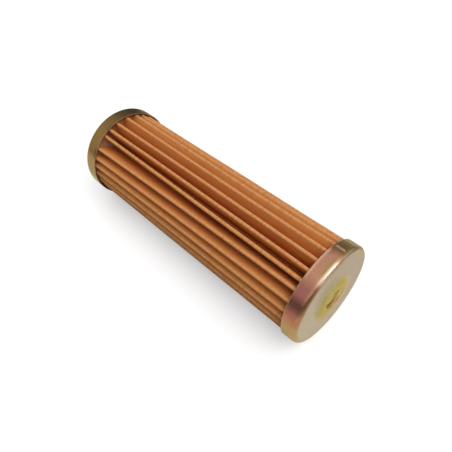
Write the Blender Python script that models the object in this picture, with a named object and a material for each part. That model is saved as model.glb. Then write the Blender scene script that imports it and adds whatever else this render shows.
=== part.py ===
"""Fuel filter element: pleated paper bonded between two pressed steel end caps.

Metres, +Z up. The element lies on z = 0 with its axis along X, and its outlet faces +X.
Cap profiles are given as (s, r): s runs outward along the axis from the cap's flat face, r is the radius.
"""

import math

import bmesh
import bpy
from mathutils import Matrix, Vector

MM = 0.001

# End caps, pressed from sheet
FACE_TO_FACE = 92.9 * MM
CAP_RADIUS = 15.5 * MM
CAP_SHEET = 0.4 * MM
CAP_BEND = 0.5 * MM
OUTLET_SKIRT = 4.6 * MM
BLIND_SKIRT = 5.3 * MM

# Raised outlet in the middle of one cap, drawn in to a short neck
BOSS_RADIUS = 7.7 * MM
BOSS_SLOPE = 2.6 * MM
BOSS_RISE = 0.8 * MM
OUTLET_RADIUS = 3.0 * MM
LIP_BEND = 0.3 * MM
NECK_LENGTH = 2.6 * MM

# Folded paper: the fold bend is its inside radius
PAPER = 0.45 * MM
FOLD_BEND = 0.2 * MM
FOLD_GAP = 0.2 * MM
SEAM_GLUE = 0.5 * MM
SEAM_DEPTH = 3.6 * MM
SEAM_GAP = 0.15 * MM

# Perforated centre tube
TUBE_RADIUS = 5.75 * MM
TUBE_WALL = 0.4 * MM
HOLE_RADIUS = 1.4 * MM
HOLE_PITCH = 7.5 * MM
HOLE_BRIDGE = 3.0 * MM

# Resin that bonds the paper and the tube into each cap
POTTING_DEPTH = 1.6 * MM
POTTING_CLIMB = 1.3 * MM
TOOTH_MIN_WIDTH = 0.3 * MM

# Clearance between neighbouring pieces
GAP = 0.3 * MM

# Mesh fineness
ROUND_STEPS = 48
TUBE_STEPS = 24
BEND_STEPS = 3
FOLD_STEPS = 4
BOSS_STEPS = 5
HOLE_STEPS = 10
SHARP_ANGLE = math.radians(35)
MERGE_DISTANCE = 0.0001 * MM

# Sizes that follow from those above
OVERALL_LENGTH = FACE_TO_FACE + BOSS_RISE
BLIND_FACE_X = -OVERALL_LENGTH / 2
OUTLET_FACE_X = BLIND_FACE_X + FACE_TO_FACE
AXIS_HEIGHT = CAP_RADIUS * math.cos(math.pi / ROUND_STEPS)
CAP_INSIDE = CAP_RADIUS - CAP_SHEET
PACK_INSET = CAP_SHEET + GAP + POTTING_DEPTH + GAP
PACK_LENGTH = FACE_TO_FACE - 2 * PACK_INSET
FOLD_MIDDLE = FOLD_BEND + PAPER / 2
FOLD_OUTSIDE = FOLD_BEND + PAPER
TIP_CENTRE = CAP_INSIDE - GAP - FOLD_OUTSIDE
ROOT_CENTRE = TUBE_RADIUS + GAP + FOLD_OUTSIDE
PLEAT_COUNT = int(math.tau * ROOT_CENTRE / (2 * FOLD_OUTSIDE + FOLD_GAP))
PLEAT_ANGLE = math.tau / PLEAT_COUNT
PACK_X = (BLIND_FACE_X + OUTLET_FACE_X) / 2
SEAM_ANGLE = -math.pi / 2
SEAM_END = TIP_CENTRE + FOLD_MIDDLE
SEAM_OFFSET = SEAM_GLUE / 2 + SEAM_GAP + PAPER / 2


def new_material(name, colour, roughness, metallic=0.0):
    material = bpy.data.materials.new(name)
    material.use_nodes = True
    shader = material.node_tree.nodes["Principled BSDF"]
    shader.inputs["Base Color"].default_value = (*colour, 1.0)
    shader.inputs["Roughness"].default_value = roughness
    shader.inputs["Metallic"].default_value = metallic
    return material


def new_object(name, bm, axis, location_x=0.0, material=None):
    """Turns a bmesh into a smooth-shaded object on the element's axis."""
    bmesh.ops.recalc_face_normals(bm, faces=bm.faces[:])
    mesh = bpy.data.meshes.new(name)
    bm.to_mesh(mesh)
    bm.free()
    mesh.shade_smooth()
    mesh.set_sharp_from_angle(angle=SHARP_ANGLE)
    obj = bpy.data.objects.new(name, mesh)
    obj.parent = axis
    obj.location.x = location_x
    if material:
        mesh.materials.append(material)
    bpy.context.collection.objects.link(obj)
    return obj


def hide_tool(obj):
    obj.hide_render = True
    obj.display_type = "WIRE"


def add_boolean(obj, tool, operation):
    modifier = obj.modifiers.new(tool.name, "BOOLEAN")
    modifier.operation = operation
    modifier.object = tool


def bend(centre_s, centre_r, radius, start, end):
    """Points (s, r) of an arc; the angle is in degrees from +r towards +s."""
    points = []
    for step in range(BEND_STEPS + 1):
        angle = math.radians(start + (end - start) * step / BEND_STEPS)
        points.append((centre_s + radius * math.sin(angle), centre_r + radius * math.cos(angle)))
    return points


def spin_profile(points, steps, closed):
    """Turns (s, r) points about the axis, with a flat facet at the bottom."""
    bm = bmesh.new()
    start = math.pi / steps
    verts = [bm.verts.new((s, r * math.sin(start), -r * math.cos(start))) for s, r in points]
    edges = [bm.edges.new(pair) for pair in zip(verts, verts[1:])]
    if closed:
        edges.append(bm.edges.new((verts[-1], verts[0])))
    bmesh.ops.spin(bm, geom=verts + edges, axis=(1, 0, 0), cent=(0, 0, 0),
                   steps=steps, angle=math.tau, use_merge=True)
    bmesh.ops.remove_doubles(bm, verts=bm.verts[:], dist=MERGE_DISTANCE)
    return bm


def extrude_outlines(outlines, start_x, end_x):
    """Closed prisms along X from outlines of (y, z) points."""
    bm = bmesh.new()
    for outline in outlines:
        near = [bm.verts.new((start_x, y, z)) for y, z in outline]
        far = [bm.verts.new((end_x, y, z)) for y, z in outline]
        bm.faces.new(near)
        bm.faces.new(reversed(far))
        for i in range(len(outline)):
            j = (i + 1) % len(outline)
            bm.faces.new((near[j], near[i], far[i], far[j]))
    return bm


def boss_profile():
    """Outer face of the outlet boss from its foot up to its flat top, an S curve."""
    points = []
    for step in range(BOSS_STEPS + 1):
        share = step / BOSS_STEPS
        rise = BOSS_RISE * (1 - math.cos(math.pi * share)) / 2
        points.append((rise, BOSS_RADIUS - BOSS_SLOPE * share))
    return points


def cap_corner(radius, start, end):
    return bend(-CAP_BEND - CAP_SHEET, CAP_INSIDE - CAP_BEND, radius, start, end)


def make_outlet_cap(axis, material):
    boss = boss_profile()
    lip_s = BOSS_RISE - LIP_BEND - CAP_SHEET
    lip_r = OUTLET_RADIUS + LIP_BEND + CAP_SHEET
    neck_s = BOSS_RISE - NECK_LENGTH
    outside = [(-OUTLET_SKIRT, CAP_RADIUS)]
    outside += cap_corner(CAP_BEND + CAP_SHEET, 0, 90)
    outside += boss
    outside += bend(lip_s, lip_r, LIP_BEND + CAP_SHEET, 90, 180)
    outside.append((neck_s, OUTLET_RADIUS))
    inside = [(neck_s, OUTLET_RADIUS + CAP_SHEET)]
    inside += bend(lip_s, lip_r, LIP_BEND, 180, 90)
    inside += [(s - CAP_SHEET, r) for s, r in reversed(boss)]
    inside += cap_corner(CAP_BEND, 90, 0)
    inside.append((-OUTLET_SKIRT, CAP_INSIDE))
    bm = spin_profile(outside + inside, ROUND_STEPS, closed=True)
    return new_object("outlet_end_cap", bm, axis, OUTLET_FACE_X, material)


def make_blind_cap(axis, material):
    points = [(0, 0)]
    points += cap_corner(CAP_BEND + CAP_SHEET, 90, 0)
    points.append((-BLIND_SKIRT, CAP_RADIUS))
    points.append((-BLIND_SKIRT, CAP_INSIDE))
    points += cap_corner(CAP_BEND, 0, 90)
    points.append((-CAP_SHEET, 0))
    bm = spin_profile(points, ROUND_STEPS, closed=False)
    cap = new_object("blind_end_cap", bm, axis, BLIND_FACE_X, material)
    cap.rotation_euler.z = math.pi
    return cap


def radial(angle):
    """Unit vectors in the (y, z) plane: outward at this angle, and along the turn."""
    outward = Vector((math.cos(angle), math.sin(angle)))
    return outward, Vector((-outward.y, outward.x))


def fold_points(angle, centre, outward_sign):
    """Middle of the sheet round one fold, in the order the sheet runs."""
    outward, along = radial(angle)
    points = []
    for step in range(FOLD_STEPS + 1):
        turn = math.pi * (step / FOLD_STEPS - 0.5)
        around = outward * (outward_sign * math.cos(turn)) + along * math.sin(turn)
        points.append(outward * centre + around * FOLD_MIDDLE)
    return points


def pleat_line():
    """Middle line of the sheet, from one raw end at the seam pleat round to the other."""
    outward, along = radial(SEAM_ANGLE)
    line = [outward * SEAM_END + along * SEAM_OFFSET]
    for pleat in range(PLEAT_COUNT):
        angle = SEAM_ANGLE + pleat * PLEAT_ANGLE
        if pleat > 0:
            line += fold_points(angle, TIP_CENTRE, 1)
        line += fold_points(angle + PLEAT_ANGLE / 2, ROOT_CENTRE, -1)
    line.append(outward * SEAM_END - along * SEAM_OFFSET)
    return line


def make_paper(axis, material):
    bm = bmesh.new()
    line = pleat_line()
    near = [bm.verts.new((-PACK_LENGTH / 2, *point)) for point in line]
    far = [bm.verts.new((PACK_LENGTH / 2, *point)) for point in line]
    for i in range(len(line) - 1):
        bm.faces.new((near[i], near[i + 1], far[i + 1], far[i]))
    paper = new_object("pleated_paper", bm, axis, PACK_X, material)
    sheet = paper.modifiers.new("sheet", "SOLIDIFY")
    sheet.thickness = PAPER
    sheet.offset = 0.0
    sheet.use_even_offset = True
    return paper


def seam_room(radius):
    """Half the room between the two raw ends of the sheet at this radius."""
    root_offset = ROOT_CENTRE * math.sin(PLEAT_ANGLE / 2) - FOLD_MIDDLE * math.cos(PLEAT_ANGLE / 2)
    share = (radius - ROOT_CENTRE) / (SEAM_END - ROOT_CENTRE)
    return root_offset + (SEAM_OFFSET - root_offset) * share - PAPER / 2


def make_seam_glue(axis, material):
    outward, along = radial(SEAM_ANGLE)
    inner = SEAM_END - SEAM_DEPTH
    outline = []
    for radius, side in ((SEAM_END, -1), (SEAM_END, 1), (inner, 1), (inner, -1)):
        half = seam_room(radius) - SEAM_GAP
        outline.append(outward * radius + along * (side * half))
    bm = extrude_outlines([outline], -PACK_LENGTH / 2, PACK_LENGTH / 2)
    return new_object("seam_adhesive", bm, axis, PACK_X, material)


def make_tube(axis, material):
    inside = TUBE_RADIUS - TUBE_WALL
    half = PACK_LENGTH / 2
    ring = [(half, TUBE_RADIUS), (half, inside), (-half, inside), (-half, TUBE_RADIUS)]
    tube = new_object("center_tube", spin_profile(ring, TUBE_STEPS, closed=True), axis, PACK_X, material)

    holes_round = int(math.tau * TUBE_RADIUS / (2 * HOLE_RADIUS + HOLE_BRIDGE))
    rows = int((PACK_LENGTH - HOLE_BRIDGE) / HOLE_PITCH)
    drill_depth = 4 * TUBE_WALL
    bm = bmesh.new()
    for row in range(rows):
        x = (row - (rows - 1) / 2) * HOLE_PITCH
        for column in range(holes_round):
            angle = (column + 0.5 * (row % 2)) * math.tau / holes_round
            place = Matrix.Rotation(angle, 4, "X") @ Matrix.Translation((x, 0, TUBE_RADIUS - TUBE_WALL / 2))
            bmesh.ops.create_cone(bm, cap_ends=True, segments=HOLE_STEPS, radius1=HOLE_RADIUS,
                                  radius2=HOLE_RADIUS, depth=drill_depth, matrix=place)
    drills = new_object("tube_drills", bm, axis, PACK_X)
    hide_tool(drills)
    add_boolean(tube, drills, "DIFFERENCE")
    return tube


def tooth_outlines():
    """Resin standing in the outer end of each valley, apart from the two narrow ones beside the seam."""
    pleat_half = FOLD_OUTSIDE + GAP
    sine = math.sin(PLEAT_ANGLE / 2)
    cosine = math.cos(PLEAT_ANGLE / 2)
    outer = CAP_INSIDE - 2 * GAP
    inner = (pleat_half + cosine * TOOTH_MIN_WIDTH / 2) / sine
    outer_half = (outer * sine - pleat_half) / cosine
    inner_half = TOOTH_MIN_WIDTH / 2
    outlines = []
    for valley in range(1, PLEAT_COUNT - 1):
        outward, along = radial(SEAM_ANGLE + (valley + 0.5) * PLEAT_ANGLE)
        outlines.append([
            outward * outer - along * outer_half,
            outward * outer + along * outer_half,
            outward * inner + along * inner_half,
            outward * inner - along * inner_half,
        ])
    return outlines


def make_potting(name, axis, face_x, turn, material):
    """A resin ring on a cap's floor, with teeth of resin standing between the pleats.

    Its bore ends midway between the outlet neck and the tube that stands on it.
    """
    floor_s = -CAP_SHEET - GAP
    top_s = floor_s - POTTING_DEPTH
    outer = CAP_INSIDE - GAP
    inner = (OUTLET_RADIUS + CAP_SHEET + TUBE_RADIUS - TUBE_WALL) / 2
    ring = [(floor_s, outer - CAP_BEND), (floor_s, inner), (top_s, inner), (top_s, outer)]
    ring.append((floor_s - CAP_BEND, outer))
    potting = new_object(name, spin_profile(ring, ROUND_STEPS, closed=True), axis, face_x, material)
    potting.rotation_euler.z = turn
    bm = extrude_outlines(tooth_outlines(), top_s - POTTING_CLIMB, (floor_s + top_s) / 2)
    teeth = new_object(name + "_teeth", bm, axis, face_x)
    teeth.rotation_euler.z = turn
    hide_tool(teeth)
    add_boolean(potting, teeth, "UNION")
    return potting


def main():
    for obj in list(bpy.data.objects):
        bpy.data.objects.remove(obj, do_unlink=True)

    axis = bpy.data.objects.new("element_axis", None)
    axis.location.z = AXIS_HEIGHT
    bpy.context.collection.objects.link(axis)

    plated = new_material("yellow_plated_steel", (0.42, 0.33, 0.17), 0.32, metallic=1.0)
    plated_blind = new_material("yellow_plated_steel_blind", (0.40, 0.32, 0.16), 0.34, metallic=1.0)
    paper = new_material("filter_paper", (0.52, 0.25, 0.08), 0.85)
    tube_steel = new_material("tinned_steel", (0.55, 0.54, 0.52), 0.4, metallic=1.0)
    resin = new_material("potting_resin", (0.28, 0.22, 0.2), 0.5)
    resin_blind = new_material("potting_resin_blind", (0.28, 0.22, 0.2), 0.5)
    glue = new_material("seam_glue", (0.45, 0.3, 0.12), 0.45)

    make_outlet_cap(axis, plated)
    make_blind_cap(axis, plated_blind)
    make_paper(axis, paper)
    make_seam_glue(axis, glue)
    make_tube(axis, tube_steel)
    make_potting("outlet_potting", axis, OUTLET_FACE_X, 0.0, resin)
    make_potting("blind_potting", axis, BLIND_FACE_X, math.pi, resin_blind)


main()
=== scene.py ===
"""Looks of the fuel filter element: plated caps, pleated paper and resin, on a pale studio floor.

Metres, in the part's frame: the element lies along X on z = 0, and its outlet faces +X.
An angle round the element is measured about +X, from +Y towards +Z.
"""

import math
from typing import NamedTuple

import bpy
import numpy as np
from mathutils import Euler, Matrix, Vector, noise


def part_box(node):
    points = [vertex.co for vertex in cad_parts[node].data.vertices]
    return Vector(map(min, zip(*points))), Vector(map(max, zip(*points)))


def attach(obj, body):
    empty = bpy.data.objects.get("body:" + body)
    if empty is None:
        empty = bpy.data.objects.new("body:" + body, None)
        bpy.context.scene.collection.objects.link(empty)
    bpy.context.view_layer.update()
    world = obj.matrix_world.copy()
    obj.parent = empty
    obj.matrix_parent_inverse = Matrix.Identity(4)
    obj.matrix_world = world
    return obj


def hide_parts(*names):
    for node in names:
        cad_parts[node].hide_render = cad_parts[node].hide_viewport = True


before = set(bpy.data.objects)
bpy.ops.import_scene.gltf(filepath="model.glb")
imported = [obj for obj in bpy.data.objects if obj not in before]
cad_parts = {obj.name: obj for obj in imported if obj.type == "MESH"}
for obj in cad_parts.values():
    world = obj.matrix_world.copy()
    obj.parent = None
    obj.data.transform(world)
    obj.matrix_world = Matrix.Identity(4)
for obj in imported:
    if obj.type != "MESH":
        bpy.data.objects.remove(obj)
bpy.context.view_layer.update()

MM = 0.001
WHITE = (1.0, 1.0, 1.0)
SHARP_ANGLE = math.radians(40)

# Sizes read from the frame
OUTLET_LOW, OUTLET_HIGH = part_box("outlet_end_cap")
BLIND_LOW, BLIND_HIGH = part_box("blind_end_cap")
PACK_LOW, PACK_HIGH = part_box("pleated_paper")
AXIS_Z = (OUTLET_LOW.z + OUTLET_HIGH.z) / 2
CAP_RADIUS = OUTLET_HIGH.z - AXIS_Z

# Sizes of the pressed sheet and the tube, as in the part but for a softer bend and rounded cut edges
CAP_SHEET = 0.4 * MM
CAP_BEND = 0.9 * MM
BEND_RUN = CAP_BEND + CAP_SHEET
BOSS_RADIUS = 7.7 * MM
BOSS_RISE = 0.8 * MM
BOSS_SLOPE = 2.6 * MM
OUTLET_RADIUS = 3.0 * MM
LIP_BEND = 0.3 * MM
NECK_LENGTH = 2.6 * MM
TUBE_RADIUS = 5.75 * MM
EDGE_ROUND = 0.1 * MM

# Points round and along a cap, and where the rows of its flat face start and end
CAP_STEPS = 720
SKIRT_ROWS = 8
CORNER_STEPS = 12
EDGE_STEPS = 3
LIP_STEPS = 8
LIP_INSIDE_STEPS = 4
BOSS_ROWS = 14
OUTLET_FACE_ROWS = 5
OUTLET_FACE_INSET = 1.6 * MM
BOSS_CLEARANCE = 0.6 * MM
BLIND_FACE_ROWS = 8
BLIND_FACE_INSET = 2.0 * MM
BLIND_CENTRE = 0.02 * MM

# Crease pressed into the outlet cap's skirt
CREASE_ANGLE = math.radians(78.3)
CREASE_WIDTH = 0.45 * MM
CREASE_HEIGHT = 0.18 * MM
CREASE_START_RUN = 0.4 * MM
CREASE_END = 4.6 * MM
CREASE_END_RUN = 0.5 * MM

# Sizes of the folded paper, as in the part but for crisper tips
PAPER = 0.45 * MM
PACK_RADIUS = 14.8 * MM
TIP_BEND = 0.3 * MM
ROOT_BEND = 0.425 * MM
TIP_CENTRE = PACK_RADIUS - PAPER / 2 - TIP_BEND
ROOT_CENTRE = 6.7 * MM
PLEATS = 28
PLEAT_STEP = math.tau / PLEATS
SEAM_ANGLE = -math.pi / 2
SEAM_END = PACK_RADIUS - PAPER / 2
SEAM_OFFSET = 0.625 * MM
FOLD_STEPS = 10
WALL_STEPS = 5
PACK_SLICES = 90
SHEET_UNIT = 100.0  # millimetres of paper to one unit of its flat coordinates

# How far each pleat that the photograph shows leans from even spacing, in degrees:
# at the blind end, at the outlet end, and its bow between them
PLEAT_LEAN = {
    11: (-4.0, -4.0, 0.0),
    12: (-5.0, -4.2, 0.0),
    13: (-7.0, -5.9, 2.0),
    14: (-4.2, -2.1, 0.7),
    15: (-0.5, 0.0, -0.5),
    16: (-0.2, 0.8, -0.9),
    17: (-2.6, 0.2, -0.2),
    18: (4.2, -2.1, -0.8),
    19: (5.4, -0.2, -0.9),
    20: (4.0, 0.5, -1.3),
    21: (3.8, 0.2, -1.7),
    22: (1.3, -0.2, -0.9),
}

# The other pleats lean by waves over the pleat's number: degrees, then each wave's step and start
HIDDEN_LEAN = 1.7
LEAN_BY_SEAM = 0.4
SEAM_NEIGHBOURS = 2
BLIND_WAVE = (2.4, 0.6)
OUTLET_WAVE = (1.7, 2.1)

# Unevenness along every pleat: degrees of lean, how short a tip may fall, the bow of the walls,
# and strides that keep the noise of one pleat or use apart from the next
LEAN_WANDER = 0.35
TIP_SHORT = 0.12 * MM
WALL_BOW = 0.1 * MM
PLEAT_STRIDE = 7.31
SEED_STRIDE = 1.7

# Resin: how high it climbs, as in the part, and the shares of that height at and between what it wets
RESIN_CLIMB = 1.3 * MM
RESIN_LEVEL = 0.55
RESIN_AT_PLEAT = 0.35
RESIN_AT_WALL = 0.2
RESIN_LUMPS = 0.12

# How far resin wets, how fine its lumps are, its gap to the cap's wall, and its points
PLEAT_WETTING = 0.45 * MM
WALL_WETTING = 0.5 * MM
LUMPS_ACROSS = 0.5
LUMPS_ROUND = 6.0
LUMPS_SEED = 9.0
RESIN_GAP = 0.25 * MM
RESIN_ROWS = 30
RESIN_STEPS_PER_PLEAT = 14

# Tints round the skirts, by share of a turn from -180 degrees: partly the film's own colour, partly painted
# reflection in their dark and light bands
OUTLET_SKIRT_STOPS = [
    (0.0, (0.435, 0.285, 0.112)),
    (0.3, (0.50, 0.32, 0.12)),
    (0.66, (0.41, 0.295, 0.13)),
    (0.712, (0.265, 0.145, 0.065)),
    (0.735, (0.305, 0.145, 0.072)),
    (0.755, (0.62, 0.31, 0.19)),
    (0.83, (0.68, 0.34, 0.20)),
    (0.865, (0.44, 0.17, 0.14)),
    (0.915, (0.53, 0.21, 0.16)),
    (0.957, (0.43, 0.15, 0.09)),
    (1.0, (0.435, 0.285, 0.112)),
]
BLIND_SKIRT_STOPS = [
    (0.0, (0.27, 0.19, 0.088)),
    (0.06, (0.50, 0.37, 0.19)),
    (0.65, (0.215, 0.145, 0.075)),
    (0.72, (0.225, 0.175, 0.08)),
    (0.79, (0.36, 0.21, 0.08)),
    (0.846, (0.45, 0.29, 0.095)),
    (0.90, (0.47, 0.265, 0.085)),
    (1.0, (0.27, 0.19, 0.088)),
]
SKIRT_UNEVEN = 0.05

# Tints of the cut edges, the flat faces, and the outlet's raised middle and neck: film colour, with painted
# light in places: the outlet's cut edge is painted brighter as a highlight, the peach side of the boss is a
# painted reflection, and the neck's tints are painted shade and light;
# a reach is where a tint starts and is full, in millimetres
# Outlet cut edge: bare metal, painted brighter as a highlight where it catches the light
OUTLET_EDGE = (0.56, 0.34, 0.24)
BLIND_EDGE = (0.24, 0.13, 0.07)
CUT_EDGE_REACH = (0.25, 0.08)
FACE_LOW = (0.465, 0.40, 0.335)
FACE_HIGH = (0.378, 0.31, 0.262)
FACE_DRIFT_WAY = (0.0, 0.82, 0.57)
FACE_DRIFT = 9.0
FACE_UNEVEN = 8.0
BOSS_OUTER = (0.45, 0.365, 0.16)
BOSS_REACH = (7.9, 6.7)
BOSS_INNER = (0.425, 0.325, 0.03)
BOSS_INNER_REACH = (5.8, 4.8)
BOSS_OVAL = -0.15
# Painted reflection: a peach tint on the lower far side of the boss
BOSS_PEACH = (0.52, 0.34, 0.20)
BOSS_PEACH_WAY = (0.0, 0.57, -0.82)
BOSS_PEACH_SIDE = (1.5, 4.5)
BOSS_PEACH_REACH = (10.0, 7.5)
# Neck tints: painted shade on one side, painted light on the other and deep down
NECK_SHADED = (0.39, 0.24, 0.085)
NECK_LIT = (0.98, 0.80, 0.31)
NECK_DEEP = (0.92, 0.72, 0.26)

# Tints laid over the film: a golden band by the bend, real marks (the smear, the warm edge, the grain), and
# painted light and shade, as said at each
# Painted dark reflection low on the outlet cap's bend, by the face
BEND_DARK_REFLECTION = (0.45, 0.235, 0.115)
# Painted reflection: paler on the upper part of the rim by the face
RIM_PALE_REFLECTION = (0.48, 0.38, 0.24)
# Painted highlight: paler film where the lamp's highlight falls on the bend
BEND_HIGHLIGHT_TINT = (0.80, 0.66, 0.50)
# Painted shade: darkens a line along the edge of the outlet's face
RIM_PAINTED_SHADE = (0.68, 0.66, 0.63)
BAND_GOLDEN = (0.51, 0.33, 0.13)
# Painted highlight along the outlet skirt's cut edge
EDGE_STRIP_HIGHLIGHT = (0.84, 0.49, 0.34)
# Painted highlight: the crease painted paler where it catches the light
CREASE_HIGHLIGHT_TINT = (0.56, 0.41, 0.27)
SMEAR = (0.17, 0.10, 0.045)
SMEAR_REACH = (1.1, 0.3)
SMEAR_FAINT = 0.55
# Painted highlight on part of the blind cap's cut edge
EDGE_BRIGHT = (0.46, 0.30, 0.14)
EDGE_WARM = (0.68, 0.34, 0.18)
GRAIN_WORN = (0.58, 0.50, 0.38)
GRAIN_WEAR = 0.15

# Finish of the plating: the neck and the cut edge are less metallic, and the neck is rougher
FILM_GLINT = (0.97, 0.90, 0.72)
DULL_METALLIC = -0.5
NECK_ROUGHER = 0.3
DRAWN_RELIEF = 0.6
GRAIN_RELIEF = 0.4

# Tints of the paper, resin, tube and glue
PAPER_BODY = [
    (0.3, (0.645, 0.222, 0.055)),
    (0.5, (0.665, 0.246, 0.065)),
    (0.7, (0.685, 0.27, 0.075)),
]
PAPER_TIP_LIGHT = (0.61, 0.28, 0.105)
PAPER_FIBRE = (0.76, 0.36, 0.13)
PAPER_TICK = (0.46, 0.15, 0.035)
PAPER_FLECK = (0.36, 0.10, 0.025)
RESIN_BODY = [(0.3, (0.52, 0.31, 0.19)), (0.7, (0.66, 0.43, 0.29))]
RESIN_STAIN = (0.54, 0.27, 0.12)
RESIN_STAIN_TURN = (math.radians(132), math.radians(124))
TUBE_BODY = [(0.3, (0.50, 0.49, 0.47)), (0.7, (0.62, 0.61, 0.58))]
GLUE_BODY = [(0.3, (0.42, 0.25, 0.09)), (0.7, (0.58, 0.38, 0.16))]

# Camera at the photograph's viewpoint
CAMERA_FROM_BLIND_FACE = Vector((121.94, -68.58, 99.54)) * MM
CAMERA_AZIMUTH = math.radians(45.07)
CAMERA_ELEVATION = math.radians(46.28)
CAMERA_LENS = 35.95
CAMERA_SENSOR = 36.0
CAMERA_CLIP = 0.005

# Light: a wide lamp, and a dome for matt surfaces that brightens with height
KEY_TOWARD = Vector((0.5, -0.08, 0.85))
KEY_POWER = 1.75
KEY_SPREAD = math.radians(50)
MATT_HEIGHTS = (0.05, 0.65)
MATT_LEVELS = (0.06, 0.75)

# Room that only shows in reflections: a ceiling, brighter on the lamp's side, with a dark corner
CEILING_HEIGHTS = (0.09, 0.41)
CEILING_LEVELS = (0.08, 1.0)
LAMP_SIDE_REACH = (-0.8, 0.3)
LAMP_SIDE_LEVELS = (0.5, 0.95)
DARK_CORNER_WAY = (-0.75, 0.62, 0.2)
DARK_CORNER_REACH = (0.76, 0.95)
DARK_CORNER_LEVELS = (1.0, 0.45)

# Bright patches of that room: the way to look, how nearly that way each starts and is full, and its level
ROOM_PATCHES = {
    "window": ((-0.85, -0.5, 0.15), 0.8, 0.97, 0.5),
    "lamp": ((0.85, 0.31, 0.42), 0.93, 0.972, 2.4),
    "back wall": ((-0.3, 0.93, -0.2), 0.92, 0.988, 1.0),
    "corner wall": ((-0.74, 0.67, 0.0), 0.9, 0.98, 0.13),
    "side wall": ((0.5, 0.86, 0.05), 0.8, 0.95, 0.8),
}

# Floor as the camera sees it, and as matt surfaces do
FLOOR_HALF = 2.0
FLOOR_SEEN = 0.62
FLOOR_GLOW = 0.42
FLOOR_BOUNCE = 0.17

# Floor as only reflections show it: greys, with a painted shadow behind the element and darker painted
# patches, and where each fades in, in metres
FLOOR_NEAR = 0.88
FLOOR_SHADOW_BEHIND = 0.36
BEHIND_Y = (0.016, 0.05)
BEHIND_X = (0.055, 0.042)
FAR_BEHIND_Y = (0.05, 0.1)
FLOOR_BEHIND_LEFT = 0.37
BEHIND_LEFT_X = (-0.05, -0.13)
FLOOR_FRONT = 0.25
FRONT_X = (0.07, 0.095)
FRONT_Y = (0.012, -0.012)
FLOOR_FAR = 0.16
FAR_REACH = (0.045, 0.125)
FAR_REACH_MORE = 0.07
LEFT_X = (0.0, -0.25)


class Cap(NamedTuple):
    """A pressed cap: outward is the way its face looks along X, and its skirt runs back from there."""

    piece: str
    node: str
    face_x: float
    outward: float
    skirt: float


OUTLET_FACE_X = OUTLET_HIGH.x - BOSS_RISE
OUTLET = Cap("outlet_cap", "outlet_end_cap", OUTLET_FACE_X, 1.0, OUTLET_FACE_X - OUTLET_LOW.x)
BLIND = Cap("blind_cap", "blind_end_cap", BLIND_LOW.x, -1.0, BLIND_HIGH.x - BLIND_LOW.x)


class Place(NamedTuple):
    """Outputs that say where a point is, in millimetres and radians: from the axis's middle, and about it."""

    position: bpy.types.NodeSocket
    x: bpy.types.NodeSocket
    radius: bpy.types.NodeSocket
    angle: bpy.types.NodeSocket


def colour(value):
    """A colour for a socket: an output stays as it is, and three numbers get an alpha."""
    if isinstance(value, bpy.types.NodeSocket):
        return value
    return (*value, 1.0)


def grey(level):
    """A grey of one level."""
    return (level, level, level)


class Nodes:
    """A node tree in the making: most calls add nodes and return the output of the last."""

    def __init__(self, tree):
        self.tree = tree

    def add(self, kind, inputs=None, output=0, **settings):
        """One node, with its inputs and its output by name or place."""
        node = self.tree.nodes.new("ShaderNode" + kind)
        for key, value in settings.items():
            setattr(node, key, value)
        for key, value in (inputs or {}).items():
            self.put(node.inputs[key], value)
        return node.outputs[output]

    def put(self, socket, value):
        """Links an output to a socket, or sets the socket to a constant."""
        if isinstance(value, bpy.types.NodeSocket):
            self.tree.links.new(value, socket)
        else:
            socket.default_value = value

    def math(self, operation, first, second=0.0, third=0.0):
        return self.add("Math", {0: first, 1: second, 2: third}, operation=operation)

    def product(self, first, *others):
        for other in others:
            first = self.math("MULTIPLY", first, other)
        return first

    def largest(self, first, *others):
        for other in others:
            first = self.math("MAXIMUM", first, other)
        return first

    def scaled(self, value, scale, added):
        """A value times a scale, with something added."""
        return self.math("MULTIPLY_ADD", value, scale, added)

    def toward(self, vector, direction):
        """How far a vector reaches one way."""
        return self.add("VectorMath", {0: vector, 1: direction}, output="Value", operation="DOT_PRODUCT")

    def stretch(self, vector, x, y, z):
        return self.add("VectorMath", {0: vector, 1: (x, y, z)}, operation="MULTIPLY")

    def noise(self, vector, scale, detail=3.0, roughness=0.55, distortion=0.0):
        inputs = {"Vector": vector, "Scale": scale, "Detail": detail,
                  "Roughness": roughness, "Distortion": distortion}
        return self.add("TexNoise", inputs)

    def fade(self, value, start, end, low=0.0, high=1.0):
        """low at start and high at end, smooth between."""
        inputs = {"Value": value, "From Min": start, "From Max": end, "To Min": low, "To Max": high}
        return self.add("MapRange", inputs, interpolation_type="SMOOTHSTEP")

    def spread(self, value, low, high, start=0.0, end=1.0):
        """low at start and high at end, in a straight line between."""
        inputs = {"Value": value, "From Min": start, "From Max": end, "To Min": low, "To Max": high}
        return self.add("MapRange", inputs)

    def band(self, value, start, full, full_end=None, end=None):
        """0 at start and 1 from full on; where an end is given, 1 up to full_end and 0 again at end."""
        share = self.fade(value, start, full)
        if end is not None:
            share = self.product(share, self.fade(value, end, full_end))
        return share

    def blend(self, share, first, second, mode="MIX"):
        """Inputs 6 and 7 and output 2 are the colour sockets of a mix."""
        inputs = {0: share, 6: colour(first), 7: colour(second)}
        return self.add("Mix", inputs, output=2, data_type="RGBA", blend_type=mode)

    def ramp(self, value, stops):
        """stops are (position, colour) pairs."""
        output = self.add("ValToRGB", {0: value})
        elements = output.node.color_ramp.elements
        elements[0].position, elements[1].position = stops[0][0], stops[-1][0]
        elements[0].color, elements[1].color = colour(stops[0][1]), colour(stops[-1][1])
        for position, tint in stops[1:-1]:
            elements.new(position).color = colour(tint)
        return output


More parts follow.
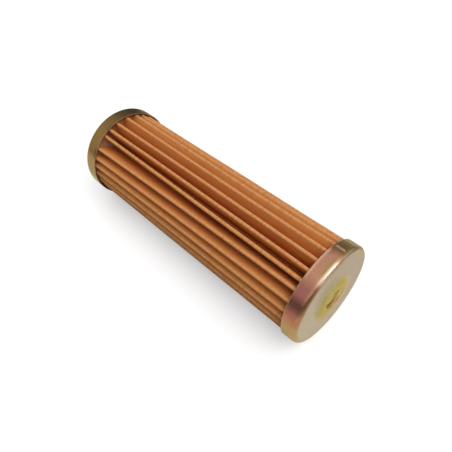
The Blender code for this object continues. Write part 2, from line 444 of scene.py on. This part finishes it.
class Material(Nodes):
    """A surface material in the making."""

    def __init__(self, name):
        self.material = bpy.data.materials.new(name)
        self.material.use_nodes = True
        super().__init__(self.material.node_tree)
        self.surface = self.tree.nodes["Principled BSDF"]

    def set(self, name, value):
        self.put(self.surface.inputs[name], value)

    def bump(self, height, strength, distance):
        inputs = {"Height": height, "Strength": strength, "Distance": distance}
        self.set("Normal", self.add("Bump", inputs))

    def place(self):
        """Where a point of the element is."""
        point = self.add("TexCoord", output="Object")
        from_axis = self.add("VectorMath", {0: point, 1: (0.0, 0.0, AXIS_Z)}, operation="SUBTRACT")
        position = self.add("VectorMath", {0: from_axis, "Scale": 1 / MM}, operation="SCALE")
        x, y, z = self.add("SeparateXYZ", {0: position}).node.outputs
        across = self.stretch(position, 0.0, 1.0, 1.0)
        radius = self.add("VectorMath", {0: across}, output="Value", operation="LENGTH")
        return Place(position, x, radius, self.math("ARCTAN2", z, y))


class Plating(Material):
    """Yellow chromate plating on one cap: a film, and what is painted over it.

    Heights over the cap's flat face, negative down its skirt, and radii are in millimetres.
    """

    def __init__(self, name, cap):
        super().__init__(name)
        self.position, x, self.radius, self.angle = self.place()
        self.height = self.math("MULTIPLY", self.math("SUBTRACT", x, cap.face_x / MM), cap.outward)
        self.up_the_face = self.toward(self.position, FACE_DRIFT_WAY)
        cloud = self.noise(self.position, scale=0.16, detail=4.0, roughness=0.6)
        self.uneven = self.math("SUBTRACT", cloud, 0.5)
        self.edge_height = -cap.skirt / MM
        self.cut_edge = self.by_edge(*CUT_EDGE_REACH)
        self.tint = None

    def patch(self, height=None, radius=None, turn=None):
        """Share of a patch of the cap: the places of a band by height, by radius and by angle in degrees."""
        shares = []
        if height:
            shares.append(self.band(self.height, *height))
        if radius:
            shares.append(self.band(self.radius, *radius))
        if turn:
            shares.append(self.band(self.angle, *(math.radians(angle) for angle in turn)))
        return self.product(*shares)

    def by_edge(self, start, full):
        """Share of the skirt by its cut edge; the heights are over that edge."""
        return self.patch(height=(self.edge_height + start, self.edge_height + full))

    def paint(self, share, tint, mode="MIX"):
        """Lays a tint over a share of what is there."""
        self.tint = self.blend(share, self.tint, tint, mode)

    def lay_film_and_painted_light(self, skirt_stops, edge_tint):
        """The film on the skirt, its cut edge and the flat face, with painted reflection in the skirt's bands
        and a painted highlight on the outlet's cut edge.
        """
        turn = self.math("MULTIPLY", self.math("ADD", self.angle, math.pi), 1 / math.tau)
        self.tint = self.ramp(self.scaled(self.uneven, SKIRT_UNEVEN, turn), skirt_stops)
        self.paint(self.cut_edge, edge_tint)
        drift = self.scaled(self.uneven, FACE_UNEVEN, self.up_the_face)
        face = self.blend(self.fade(drift, -FACE_DRIFT, FACE_DRIFT), FACE_LOW, FACE_HIGH)
        self.paint(self.patch(height=(-1.2, -0.6), radius=(14.9, 13.4)), face)

    def finish(self, neck=0.0):
        """Grain, gloss and fine relief over the painted film; neck is the share of a duller, rougher neck."""
        grain = self.noise(self.position, scale=2.6, detail=5.0, roughness=0.65)
        drawn = self.noise(self.stretch(self.position, 0.05, 1.6, 1.6), scale=2.4)
        self.paint(self.fade(grain, 0.56, 0.72, high=GRAIN_WEAR), GRAIN_WORN)
        self.set("Base Color", self.tint)
        self.set("Specular Tint", colour(FILM_GLINT))
        dull = self.largest(neck, self.cut_edge)
        self.set("Metallic", self.scaled(dull, DULL_METALLIC, 1.0))
        rough = self.spread(self.math("ADD", grain, drawn), low=0.22, high=0.36, start=0.6, end=1.4)
        self.set("Roughness", self.scaled(neck, NECK_ROUGHER, rough))
        relief = self.scaled(drawn, DRAWN_RELIEF, self.product(grain, GRAIN_RELIEF))
        self.bump(relief, strength=0.35, distance=0.03 * MM)
        return self.material


def paint_boss(steel):
    """The raised middle: yellow, deeper inside an oval, and a painted reflection in peach on its lower far
    side.
    """
    film = steel.math("ADD", steel.radius, steel.uneven)
    oval = steel.scaled(steel.math("ABSOLUTE", steel.up_the_face), BOSS_OVAL, film)
    boss = steel.blend(steel.fade(oval, *BOSS_INNER_REACH), BOSS_OUTER, BOSS_INNER)
    steel.paint(steel.fade(film, *BOSS_REACH), boss)
    far_side = steel.fade(steel.toward(steel.position, BOSS_PEACH_WAY), *BOSS_PEACH_SIDE)
    steel.paint(steel.product(far_side, steel.fade(film, *BOSS_PEACH_REACH)), BOSS_PEACH)


def paint_neck(steel):
    """The drawn-in hole, with painted light and shade: shaded on one side, lit pale on the other and where it
    goes deep. Returns its share.
    """
    neck = steel.blend(steel.patch(turn=(-75, -10, 100, 150)), NECK_SHADED, NECK_LIT)
    neck = steel.blend(steel.patch(height=(-0.2, -0.45)), neck, NECK_DEEP)
    in_neck = steel.patch(height=(0.8, 0.3), radius=(3.6, 3.1))
    steel.paint(in_neck, neck)
    return in_neck


def plated_outlet():
    """The outlet cap's plating, with painted light and shade on its rim, bend and skirt: dark and pale
    painted reflections, painted highlights and a painted shade line, and a golden band.
    """
    steel = Plating("plated_outlet", OUTLET)
    steel.lay_film_and_painted_light(OUTLET_SKIRT_STOPS, OUTLET_EDGE)
    paint_boss(steel)
    in_neck = paint_neck(steel)

    # Painted dark reflection on the lower bend
    dark_bend_reflection = steel.patch(height=(-1.4, -0.8), radius=(13.7, 14.4), turn=(118, 130, 160, 172))
    steel.paint(dark_bend_reflection, BEND_DARK_REFLECTION)
    # Painted reflection: paler on the upper rim
    pale_rim_reflection = steel.patch(height=(-0.9, -0.3), radius=(14.0, 14.5), turn=(44, 56, 84, 94))
    steel.paint(pale_rim_reflection, RIM_PALE_REFLECTION)
    # Painted highlight: paler film under the bend's highlight
    bend_highlight = steel.patch(height=(-1.15, -0.75), radius=(14.6, 15.0), turn=(90, 100, 118, 128))
    steel.paint(bend_highlight, BEND_HIGHLIGHT_TINT)
    # Painted shade: a darker line along the edge of the face
    at_face = (-0.3, -0.08)
    face_edge_shade = steel.patch(height=at_face, radius=(13.0, 14.2, 14.4, 14.75), turn=(82, 94, 130, 140))
    rim_edge_shade = steel.patch(height=at_face, radius=(13.0, 14.2), turn=(118, 126, 152, 170))
    steel.paint(steel.largest(face_edge_shade, rim_edge_shade), RIM_PAINTED_SHADE, "MULTIPLY")

    golden_band = steel.patch(height=(-1.9, -1.5, -1.1, -0.85), turn=(86, 94, 110, 118))
    steel.paint(golden_band, BAND_GOLDEN)
    # Painted highlight along the cut edge
    highlighted_strip = steel.patch(height=(-4.6, -4.45, -4.25, -3.7), turn=(82, 90, 116, 127))
    steel.paint(highlighted_strip, EDGE_STRIP_HIGHLIGHT)
    # Painted highlight along the crease
    crease_at = math.degrees(CREASE_ANGLE)
    crease_turn = (crease_at - 1, crease_at, crease_at + 1, crease_at + 2)
    steel.paint(steel.patch(height=(-4.5, -4.0, -1.6, -1.0), turn=crease_turn), CREASE_HIGHLIGHT_TINT)
    return steel.finish(in_neck)


def plated_blind():
    """The blind cap's plating: two smears by the cut edge, and an edge that shines in places."""
    steel = Plating("plated_blind", BLIND)
    steel.lay_film_and_painted_light(BLIND_SKIRT_STOPS, BLIND_EDGE)
    smear = steel.patch(turn=(142, 148, 155, 161))
    faint_smear = steel.product(steel.patch(turn=(107, 111, 117, 121)), SMEAR_FAINT)
    smears = steel.largest(smear, faint_smear)
    steel.paint(steel.product(steel.by_edge(*SMEAR_REACH), smears), SMEAR)
    # Painted highlight where the edge shines
    steel.paint(steel.product(steel.cut_edge, steel.patch(turn=(95, 165))), EDGE_BRIGHT)
    steel.paint(steel.product(steel.cut_edge, steel.patch(turn=(0, 20, 48, 60))), EDGE_WARM)
    return steel.finish()


def filter_paper():
    """Resin-treated paper: mottled orange, with fine fibres and a cross grain along the sheet, painted paler
    at the tips and redder down the folds as light and shade.
    """
    paper = Material("filter_paper")
    flat = paper.stretch(paper.add("TexCoord", output="UV"), SHEET_UNIT, SHEET_UNIT, 0.0)
    along_fibres = paper.stretch(flat, 1.6, 5.0, 1.0)
    along_grain = paper.stretch(flat, 0.45, 1.7, 1.0)
    mottle = paper.noise(paper.stretch(flat, 0.18, 0.05, 1.0), scale=1.0)
    fibre = paper.noise(along_fibres, scale=1.4, detail=6.0, roughness=0.7, distortion=0.6)
    speck = paper.noise(flat, scale=7.0, roughness=0.7)
    grain = paper.noise(along_grain, scale=1.0, detail=2.0, roughness=0.5, distortion=0.3)

    # Paler at the tips and deeper, redder towards the roots: painted light on the tips and painted shade down
    # the folds
    tip = paper.fade(paper.place().radius, 13.4, 14.6)
    tint = paper.blend(tip, paper.ramp(mottle, PAPER_BODY), PAPER_TIP_LIGHT)
    pale_fibres = paper.fade(fibre, 0.52, 0.75, high=0.4)
    tint = paper.blend(pale_fibres, tint, PAPER_FIBRE)
    tick_strength = paper.spread(tip, low=0.12, high=0.57)
    ticks = paper.product(paper.fade(grain, 0.45, 0.68), tick_strength)
    tint = paper.blend(ticks, tint, PAPER_TICK)
    flecks = paper.fade(speck, 0.68, 0.76, high=0.4)
    paper.set("Base Color", paper.blend(flecks, tint, PAPER_FLECK))
    paper.set("Roughness", 0.9)
    paper.set("Specular IOR Level", 0.15)
    relief = paper.math("ADD", fibre, paper.scaled(speck, 0.6, grain))
    paper.bump(relief, strength=0.55, distance=0.12 * MM)
    return paper.material


def potting_resin(name):
    """Cured brown resin with a soft gloss, unevenly tinted, and stained over most of the turn."""
    resin = Material(name)
    place = resin.place()
    cloud = resin.noise(place.position, scale=0.7, detail=4.0)
    fine = resin.noise(place.position, scale=5.0)
    stained = resin.fade(place.angle, *RESIN_STAIN_TURN)
    resin.set("Base Color", resin.blend(stained, resin.ramp(cloud, RESIN_BODY), RESIN_STAIN))
    resin.set("Roughness", resin.spread(fine, low=0.35, high=0.6))
    resin.bump(fine, strength=0.4, distance=0.08 * MM)
    return resin.material


def tinned_steel():
    """Bare tinned sheet of the centre tube, with rolled streaks."""
    tube = Material("tinned_steel")
    position = tube.place().position
    streak = tube.noise(tube.stretch(position, 0.08, 1.5, 1.5), scale=2.0, detail=4.0)
    spangle = tube.noise(position, scale=0.8)
    tube.set("Base Color", tube.ramp(spangle, TUBE_BODY))
    tube.set("Metallic", 1.0)
    tube.set("Roughness", tube.spread(streak, low=0.25, high=0.5))
    tube.bump(streak, strength=0.3, distance=0.03 * MM)
    return tube.material


def seam_glue():
    """Amber hot melt between the raw ends of the paper."""
    glue = Material("seam_glue")
    cloud = glue.noise(glue.stretch(glue.place().position, 0.4, 1.0, 1.0), scale=1.2, detail=4.0)
    glue.set("Base Color", glue.ramp(cloud, GLUE_BODY))
    glue.set("Roughness", glue.spread(cloud, low=0.3, high=0.5))
    glue.bump(cloud, strength=0.5, distance=0.1 * MM)
    return glue.material


def new_piece(name, points, faces, material, node):
    """A smooth mesh on the root body that stands for one node of the part."""
    mesh = bpy.data.meshes.new(name)
    mesh.from_pydata([tuple(point) for point in points], [], faces)
    mesh.validate()
    mesh.shade_smooth()
    mesh.set_sharp_from_angle(angle=SHARP_ANGLE)
    mesh.materials.append(material)
    piece = bpy.data.objects.new(name, mesh)
    bpy.context.scene.collection.objects.link(piece)
    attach(piece, "root")
    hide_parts(node)
    return piece


def turned_faces(steps, count, closed, flip):
    """Quads between profiles of count points that stand round the axis; closed joins last point to first."""
    faces = []
    for step in range(steps):
        this = step * count
        following = (step + 1) % steps * count
        for i in range(count if closed else count - 1):
            j = (i + 1) % count
            quad = (this + i, this + j, following + j, following + i)
            faces.append(quad[::-1] if flip else quad)
    return faces


def arc(centre_s, centre_r, radius, start, end, steps):
    """Points (s, r), s being the height over a cap's face; the angle is in degrees from +r towards +s."""
    points = []
    for step in range(steps + 1):
        angle = math.radians(start + (end - start) * step / steps)
        points.append((centre_s + radius * math.sin(angle), centre_r + radius * math.cos(angle)))
    return points


def skirt_edge(skirt):
    """Cut edge of a cap's skirt, from its inside to its outside, with rounded corners."""
    inside = CAP_RADIUS - CAP_SHEET
    edge = arc(-skirt + EDGE_ROUND, inside + EDGE_ROUND, EDGE_ROUND, -180, -90, EDGE_STEPS)
    return edge + arc(-skirt + EDGE_ROUND, CAP_RADIUS - EDGE_ROUND, EDGE_ROUND, -90, 0, EDGE_STEPS)


def skirt_rows(skirt):
    """Points up the outside of a skirt, close enough for a crease to show."""
    bottom = -skirt + 2 * EDGE_ROUND
    return [(bottom + (-BEND_RUN - bottom) * row / SKIRT_ROWS, CAP_RADIUS) for row in range(SKIRT_ROWS)]


def cap_corner(radius, start, end):
    """Bend between face and skirt, softer than in the part."""
    return arc(-BEND_RUN, CAP_RADIUS - BEND_RUN, radius, start, end, CORNER_STEPS)


def flat_face(outer, inner, rows):
    """Points across a cap's flat face."""
    return [(0.0, radius) for radius in np.linspace(outer, inner, rows)]


def outlet_profile():
    """Outside of the outlet cap from its skirt into its neck, then back along its inside."""
    crest = OUTLET_RADIUS + LIP_BEND + CAP_SHEET
    lip_s = BOSS_RISE - LIP_BEND - CAP_SHEET
    neck_s = BOSS_RISE - NECK_LENGTH
    boss = []
    for share in np.linspace(0, 1, BOSS_ROWS):
        rise = BOSS_RISE * (1 - math.cos(math.pi * share)) / 2
        boss.append((rise, BOSS_RADIUS - BOSS_SLOPE * share))
    outside = skirt_rows(OUTLET.skirt) + cap_corner(CAP_BEND + CAP_SHEET, 0, 90)
    outside += flat_face(CAP_RADIUS - OUTLET_FACE_INSET, BOSS_RADIUS + BOSS_CLEARANCE, OUTLET_FACE_ROWS)
    outside += boss
    outside += arc(lip_s, crest, LIP_BEND + CAP_SHEET, 90, 180, LIP_STEPS)
    outside.append((neck_s, OUTLET_RADIUS))
    inside = [(neck_s, OUTLET_RADIUS + CAP_SHEET)]
    inside += arc(lip_s, crest, LIP_BEND, 180, 90, LIP_INSIDE_STEPS)
    inside += [(s - CAP_SHEET, r) for s, r in reversed(boss)]
    inside += cap_corner(CAP_BEND, 90, 0)
    return outside + inside + skirt_edge(OUTLET.skirt)


def blind_profile():
    """Inside of the blind cap from its middle to its edge, then back over its outside."""
    points = [(-CAP_SHEET, BLIND_CENTRE)]
    points += cap_corner(CAP_BEND, 90, 0)
    points += skirt_edge(BLIND.skirt) + skirt_rows(BLIND.skirt)
    points += cap_corner(CAP_BEND + CAP_SHEET, 0, 90)
    return points + flat_face(CAP_RADIUS - BLIND_FACE_INSET, BLIND_CENTRE, BLIND_FACE_ROWS)


def crease(s, angle):
    """How far the outlet cap's skirt stands out at the crease."""
    along = (angle - CREASE_ANGLE) * CAP_RADIUS / CREASE_WIDTH
    past_bend = min(1.0, max(0.0, (-s - BEND_RUN) / CREASE_START_RUN))
    before_edge = min(1.0, max(0.0, (s + CREASE_END) / CREASE_END_RUN))
    return CREASE_HEIGHT * math.exp(-along * along) * past_bend * before_edge


def make_cap(cap, profile, closed, material):
    """Turns a cap's profile of (s, r) points about the axis; an open one gets a small disc at each end."""
    points = []
    for step in range(CAP_STEPS):
        angle = math.tau * step / CAP_STEPS
        for s, r in profile:
            if cap is OUTLET and r >= CAP_RADIUS - EDGE_ROUND:
                r += crease(s, angle)
            points.append((cap.face_x + cap.outward * s, r * math.cos(angle), AXIS_Z + r * math.sin(angle)))
    count = len(profile)
    flip = cap.outward < 0
    faces = turned_faces(CAP_STEPS, count, closed, flip)
    if not closed:
        first = [step * count for step in range(CAP_STEPS)]
        last = [index + count - 1 for index in first]
        faces.append(first if flip else first[::-1])
        faces.append(last[::-1] if flip else last)
    new_piece(cap.piece, points, faces, material, cap.node)


def unit(angle):
    """One step (y, z) from the axis at an angle round it."""
    return np.array([math.cos(angle), math.sin(angle)])


def wobble(pleat, share, frequency, seed):
    """A smooth value from about -1 to 1 along a pleat."""
    return noise.noise(Vector((pleat * PLEAT_STRIDE + seed, share * frequency, seed * SEED_STRIDE)))


def tip_angle(pleat, share):
    """Where a pleat's tip stands, at a share of the way from the blind to the outlet end."""
    if pleat in PLEAT_LEAN:
        blind, outlet, bow = PLEAT_LEAN[pleat]
    else:
        near_seam = min(pleat, PLEATS - pleat) <= SEAM_NEIGHBOURS
        size = LEAN_BY_SEAM if near_seam else HIDDEN_LEAN
        blind, outlet = (size * math.sin(pleat * step + start) for step, start in (BLIND_WAVE, OUTLET_WAVE))
        bow = 0.0
    lean = blind + (outlet - blind) * share + 4 * bow * share * (1 - share)
    lean += LEAN_WANDER * wobble(pleat, share, frequency=3.0, seed=1.0)
    return SEAM_ANGLE + pleat * PLEAT_STEP + math.radians(lean)


def fold(centre, outward, bend, sign):
    """Middle of the sheet round one fold; outward is the fold's own axis."""
    along = np.array([-outward[1], outward[0]])
    turns = math.pi * (np.linspace(0, 1, FOLD_STEPS + 1) - 0.5)
    return [centre + bend * (outward * sign * math.cos(turn) + along * math.sin(turn)) for turn in turns]


def wall(start, end, bow):
    """Points between two folds, bowed sideways."""
    along = end - start
    side = np.array([-along[1], along[0]]) / np.linalg.norm(along)
    shares = [step / WALL_STEPS for step in range(1, WALL_STEPS)]
    return [start + along * share + side * bow * math.sin(math.pi * share) for share in shares]


def sheet_line(share):
    """Middle line of the sheet across the pack, from one raw end round to the other."""
    seam_out = unit(SEAM_ANGLE)
    seam_along = np.array([-seam_out[1], seam_out[0]])
    folds = [[seam_out * SEAM_END + seam_along * SEAM_OFFSET]]
    for pleat in range(PLEATS):
        even = SEAM_ANGLE + pleat * PLEAT_STEP
        if pleat > 0:
            short = 0.5 + 0.5 * wobble(pleat, share, frequency=4.0, seed=5.0)
            tip = unit(tip_angle(pleat, share)) * (TIP_CENTRE - TIP_SHORT * short)
            lean = tip - unit(even) * ROOT_CENTRE
            folds.append(fold(tip, lean / np.linalg.norm(lean), TIP_BEND, sign=1))
        valley = unit(even + PLEAT_STEP / 2)
        folds.append(fold(valley * ROOT_CENTRE, valley, ROOT_BEND, sign=-1))
    folds.append([seam_out * SEAM_END - seam_along * SEAM_OFFSET])

    line = []
    for index, points in enumerate(folds):
        if line:
            bow = WALL_BOW * wobble(index, share, frequency=2.5, seed=9.0)
            line += wall(line[-1], points[0], bow)
        line += points
    return np.array(line)


def sheet_normals(line):
    """Which way one side of the sheet looks at each point of its line."""
    along = np.gradient(line, axis=0)
    side = np.stack([along[:, 1], -along[:, 0]], axis=1)
    return side / np.linalg.norm(side, axis=1, keepdims=True)


def sheet_faces(count):
    """Both sides, both raw ends and both cut ends of a sheet; a slice has count points on each side."""
    row = 2 * count
    faces = []
    for step in range(PACK_SLICES):
        this = step * row
        following = this + row
        for i in range(count - 1):
            faces.append((this + i, following + i, following + i + 1, this + i + 1))
            back = this + count + i
            faces.append((back, back + 1, back + 1 + row, back + row))
        for i, flip in ((0, False), (count - 1, True)):
            quad = (this + i, this + count + i, following + count + i, following + i)
            faces.append(quad[::-1] if flip else quad)
    last = PACK_SLICES * row
    for i in range(count - 1):
        faces.append((i, i + 1, count + i + 1, count + i))
        faces.append((last + i, last + count + i, last + count + i + 1, last + i + 1))
    return faces


def make_paper(material):
    """The pleat pack as one sheet, with flat coordinates along and across the paper."""
    points = []
    lengths = None
    for step in range(PACK_SLICES + 1):
        share = step / PACK_SLICES
        x = PACK_LOW.x + (PACK_HIGH.x - PACK_LOW.x) * share
        line = sheet_line(share)
        normals = sheet_normals(line)
        if lengths is None:
            runs = np.linalg.norm(np.diff(line, axis=0), axis=1)
            lengths = np.concatenate([[0.0], np.cumsum(runs)])
        for side in (0.5, -0.5):
            for y, z in line + normals * PAPER * side:
                points.append((x, y, AXIS_Z + z))

    count = len(lengths)
    row = 2 * count
    faces = sheet_faces(count)
    piece = new_piece("pleat_pack", points, faces, material, "pleated_paper")
    layer = piece.data.uv_layers.new(name="sheet")
    for loop in piece.data.loops:
        slice_index, place = divmod(loop.vertex_index, row)
        along = points[slice_index * row][0] - PACK_LOW.x
        layer.data[loop.index].uv = (lengths[place % count] / MM / SHEET_UNIT, along / MM / SHEET_UNIT)


def resin_height(radius, angle, share, tips):
    """How high resin stands above its ring: it wets the pleats and the cap's wall."""
    nearest = min(abs(math.remainder(angle - tip, math.tau)) for tip in tips)
    clear = max(0.0, radius * nearest - ROOT_BEND)
    at_pleat = math.exp(-clear / PLEAT_WETTING)
    at_wall = math.exp(-max(0.0, CAP_RADIUS - CAP_SHEET - radius) / WALL_WETTING)
    lumps = noise.noise(Vector((radius / MM * LUMPS_ACROSS, angle * LUMPS_ROUND, share * LUMPS_SEED)))
    wetting = RESIN_LEVEL + RESIN_AT_PLEAT * at_pleat + RESIN_AT_WALL * at_wall + RESIN_LUMPS * lumps
    return RESIN_CLIMB * wetting


def make_resin(name, node, share, inward, material):
    """A ring of resin on a cap's floor, at a share of the way from the blind to the outlet end.

    inward is the way its wet side looks along X.
    """
    low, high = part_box(node)
    floor_x = low.x if inward > 0 else high.x
    deep = high.x - low.x
    inner = (OUTLET_RADIUS + TUBE_RADIUS) / 2
    outer = CAP_RADIUS - CAP_SHEET - RESIN_GAP
    tips = [tip_angle(pleat, share) for pleat in range(PLEATS)]
    radii = np.linspace(inner, outer, RESIN_ROWS)
    steps = PLEATS * RESIN_STEPS_PER_PLEAT
    points = []
    for step in range(steps):
        angle = math.tau * step / steps
        y, z = unit(angle)
        for radius in radii:
            rise = deep - RESIN_CLIMB + resin_height(radius, angle, share, tips)
            points.append((floor_x + inward * rise, radius * y, AXIS_Z + radius * z))
        for radius in (outer, inner):
            points.append((floor_x, radius * y, AXIS_Z + radius * z))
    faces = turned_faces(steps, len(points) // steps, closed=True, flip=inward < 0)
    new_piece(name, points, faces, material, node)


def make_world():
    """Light from all round: white for the camera, a dome for matt surfaces, a room for what reflects."""
    world = bpy.data.worlds.new("studio")
    bpy.context.scene.world = world
    world.use_nodes = True
    nodes = Nodes(world.node_tree)
    path = nodes.add("LightPath").node.outputs
    way = nodes.add("TexCoord", output="Generated")
    x, _, z = nodes.add("SeparateXYZ", {0: way}).node.outputs

    ceiling = nodes.fade(z, *CEILING_HEIGHTS, *CEILING_LEVELS)
    lamp_side = nodes.fade(x, *LAMP_SIDE_REACH, *LAMP_SIDE_LEVELS)
    dark_corner = nodes.fade(nodes.toward(way, DARK_CORNER_WAY), *DARK_CORNER_REACH, *DARK_CORNER_LEVELS)
    room = nodes.product(ceiling, lamp_side, dark_corner)
    for direction, start, full, level in ROOM_PATCHES.values():
        patch = nodes.fade(nodes.toward(way, direction), start, full, high=level)
        room = nodes.largest(room, patch)

    seen = nodes.largest(path["Is Camera Ray"], path["Is Transmission Ray"])
    reflected = nodes.product(room, path["Is Glossy Ray"])
    by_matt = nodes.fade(nodes.largest(seen, path["Is Glossy Ray"]), 0.0, 1.0, low=1.0, high=0.0)
    dome = nodes.product(by_matt, nodes.fade(z, *MATT_HEIGHTS, *MATT_LEVELS))
    background = world.node_tree.nodes["Background"]
    nodes.put(background.inputs["Color"], colour(WHITE))
    nodes.put(background.inputs["Strength"], nodes.math("ADD", nodes.largest(seen, reflected), dome))


def floor_in_metal(paint):
    """Greys of the floor round the element, as the metal reflects them: a painted shadow behind it, and
    darker painted patches behind to the left, in front and far off.
    """
    point = paint.add("TexCoord", output="Object")
    x, y, _ = paint.add("SeparateXYZ", {0: point}).node.outputs
    # Painted shadow of the element on the floor behind it
    behind = paint.product(paint.fade(y, *BEHIND_Y), paint.fade(x, *BEHIND_X))
    back = paint.blend(paint.fade(y, *FAR_BEHIND_Y), grey(FLOOR_SHADOW_BEHIND), WHITE)
    back = paint.blend(paint.fade(x, *BEHIND_LEFT_X), back, grey(FLOOR_BEHIND_LEFT))
    near = paint.blend(behind, grey(FLOOR_NEAR), back)
    front = paint.product(paint.fade(x, *FRONT_X), paint.fade(y, *FRONT_Y))
    near = paint.blend(front, near, grey(FLOOR_FRONT))
    left = paint.fade(x, *LEFT_X)
    farther = paint.product(paint.math("ADD", left, behind), FAR_REACH_MORE)
    reach = paint.math("SUBTRACT", paint.math("ABSOLUTE", y), farther)
    return paint.blend(paint.fade(reach, *FAR_REACH), near, grey(FLOOR_FAR))


def make_floor():
    """A pale floor that keeps the shadow and lifts to white for the camera."""
    mesh = bpy.data.meshes.new("floor")
    corners = [(x * FLOOR_HALF, y * FLOOR_HALF, 0) for x, y in ((-1, -1), (1, -1), (1, 1), (-1, 1))]
    mesh.from_pydata(corners, [], [(0, 1, 2, 3)])
    floor = bpy.data.objects.new("floor", mesh)
    bpy.context.scene.collection.objects.link(floor)
    paint = Material("floor")
    path = paint.add("LightPath").node.outputs
    bounced = paint.blend(path["Is Glossy Ray"], grey(FLOOR_BOUNCE), floor_in_metal(paint))
    paint.set("Base Color", paint.blend(path["Is Camera Ray"], bounced, grey(FLOOR_SEEN)))
    paint.set("Roughness", 1.0)
    paint.set("Specular IOR Level", 0.0)
    paint.set("Emission Color", colour(WHITE))
    paint.set("Emission Strength", paint.product(path["Is Camera Ray"], FLOOR_GLOW))
    mesh.materials.append(paint.material)


def make_key_light():
    """A wide soft lamp; what the metal reflects of it is the lamp in the world."""
    lamp = bpy.data.lights.new("key", "SUN")
    lamp.energy = KEY_POWER
    lamp.angle = KEY_SPREAD
    key = bpy.data.objects.new("key", lamp)
    key.rotation_euler = KEY_TOWARD.to_track_quat("Z", "Y").to_euler()
    key.visible_glossy = False
    bpy.context.scene.collection.objects.link(key)


def make_camera():
    """The camera that a fit to the photograph's outline gives."""
    data = bpy.data.cameras.new("camera")
    data.lens = CAMERA_LENS
    data.sensor_width = CAMERA_SENSOR
    data.sensor_fit = "HORIZONTAL"
    data.clip_start = CAMERA_CLIP
    camera = bpy.data.objects.new("camera", data)
    camera.location = Vector((BLIND.face_x, 0.0, AXIS_Z)) + CAMERA_FROM_BLIND_FACE
    camera.rotation_euler = Euler((math.pi / 2 - CAMERA_ELEVATION, 0.0, CAMERA_AZIMUTH))
    bpy.context.scene.collection.objects.link(camera)
    bpy.context.scene.camera = camera


def main():
    """Builds the looks."""
    bpy.context.scene.view_settings.view_transform = "Standard"
    outlet_steel = plated_outlet()
    blind_steel = plated_blind()
    make_cap(OUTLET, outlet_profile(), closed=True, material=outlet_steel)
    make_cap(BLIND, blind_profile(), closed=False, material=blind_steel)
    make_paper(filter_paper())
    outlet_resin = potting_resin("resin_outlet")
    make_resin("outlet_resin", "outlet_potting", share=1.0, inward=-1.0, material=outlet_resin)
    blind_resin = potting_resin("resin_blind")
    make_resin("blind_resin", "blind_potting", share=0.0, inward=1.0, material=blind_resin)
    for node, material in (("center_tube", tinned_steel()), ("seam_adhesive", seam_glue())):
        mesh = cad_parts[node].data
        mesh.materials.clear()
        mesh.materials.append(material)
    make_world()
    make_floor()
    make_key_light()
    make_camera()


main()
